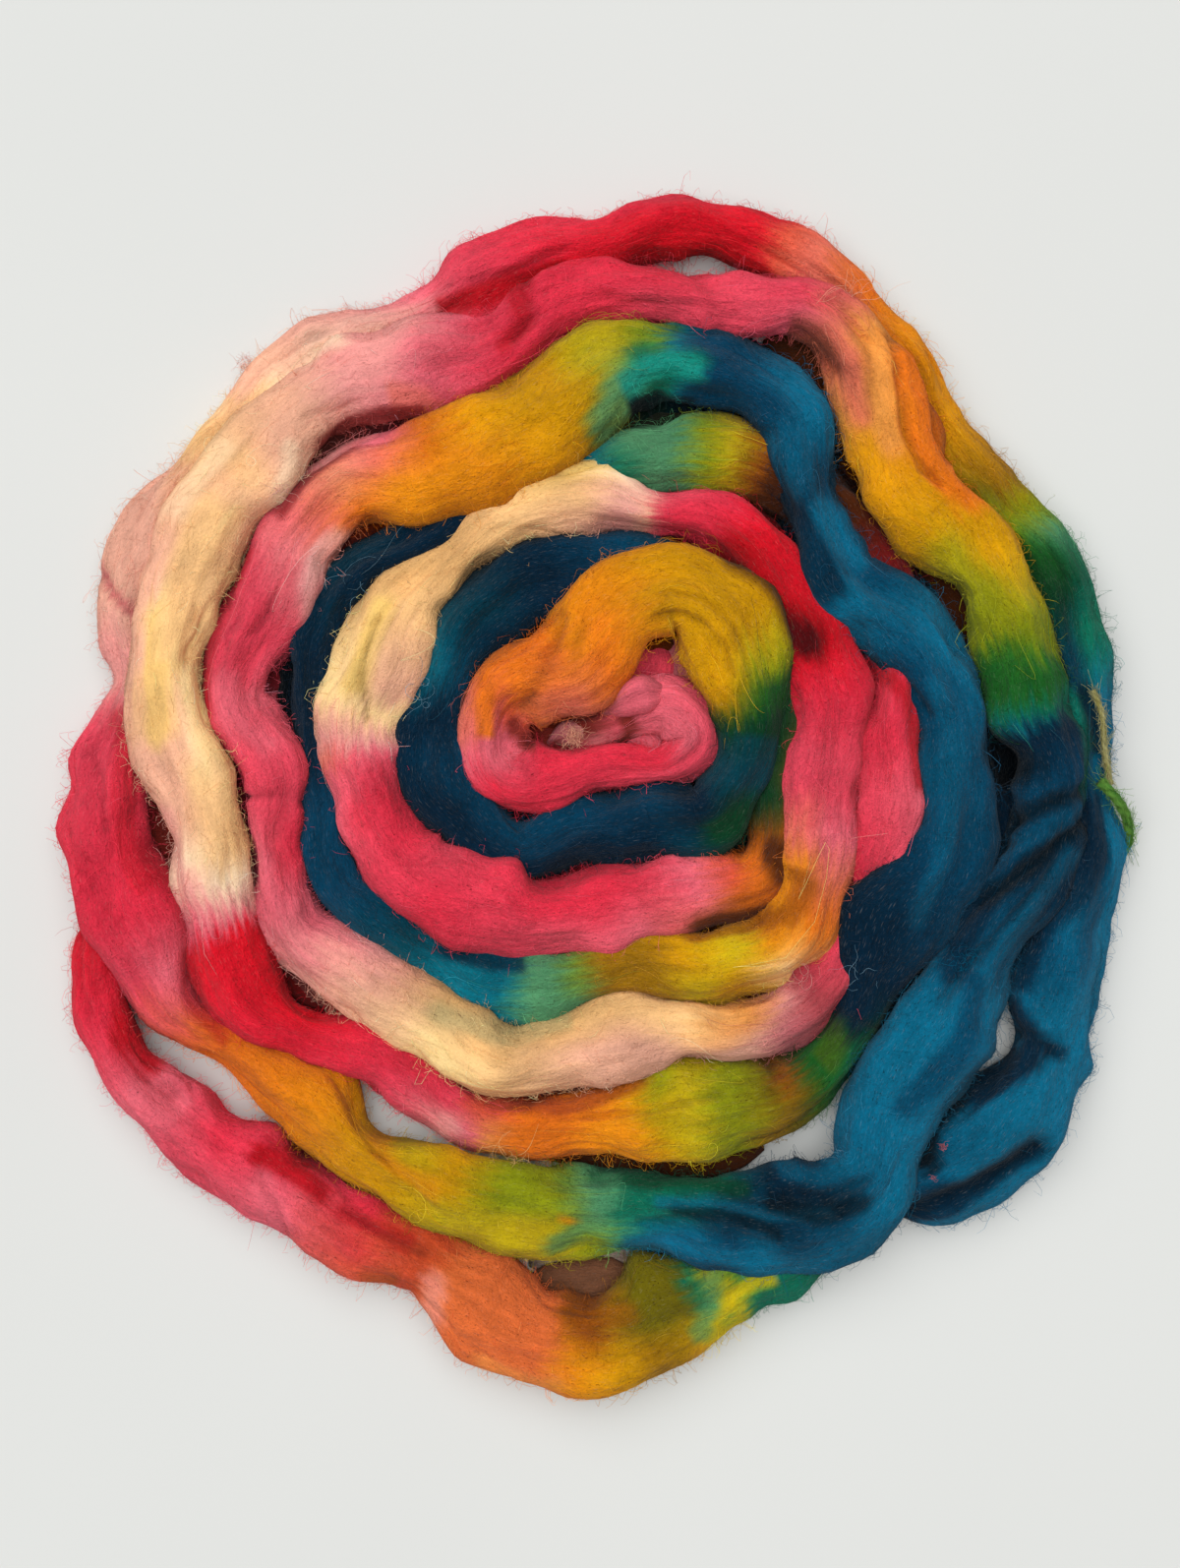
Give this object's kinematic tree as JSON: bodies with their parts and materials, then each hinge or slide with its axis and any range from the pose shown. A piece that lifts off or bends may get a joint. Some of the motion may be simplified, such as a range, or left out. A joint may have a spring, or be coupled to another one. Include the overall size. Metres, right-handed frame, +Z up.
{
  "type": "wool roving",
  "caption": "Long soft strand of hand-dyed combed wool, laid down in a loose flat spiral whose turns lie against and over each other, with the yarn that ties it.",
  "frame": {"origin": "middle of the coil's outline, on the plane that it lies on", "axes": "+Z up from the table, +Y along the coil's longest side, +X to the tied side"},
  "size_m": [0.3843, 0.4284, 0.0299],
  "materials": {
    "wool": "soft matte combed wool with fine fibres, dyed in long bands of raspberry, pink, cream, orange, mustard, green, teal and navy",
    "green_yarn": "fuzzy green wool yarn",
    "olive_yarn": "thin olive wool yarn, half untwisted"
  },
  "bodies": {
    "root": {"roving": "wool", "tie_loop": "green_yarn", "tie_end": "olive_yarn"}
  },
  "joints": []
}
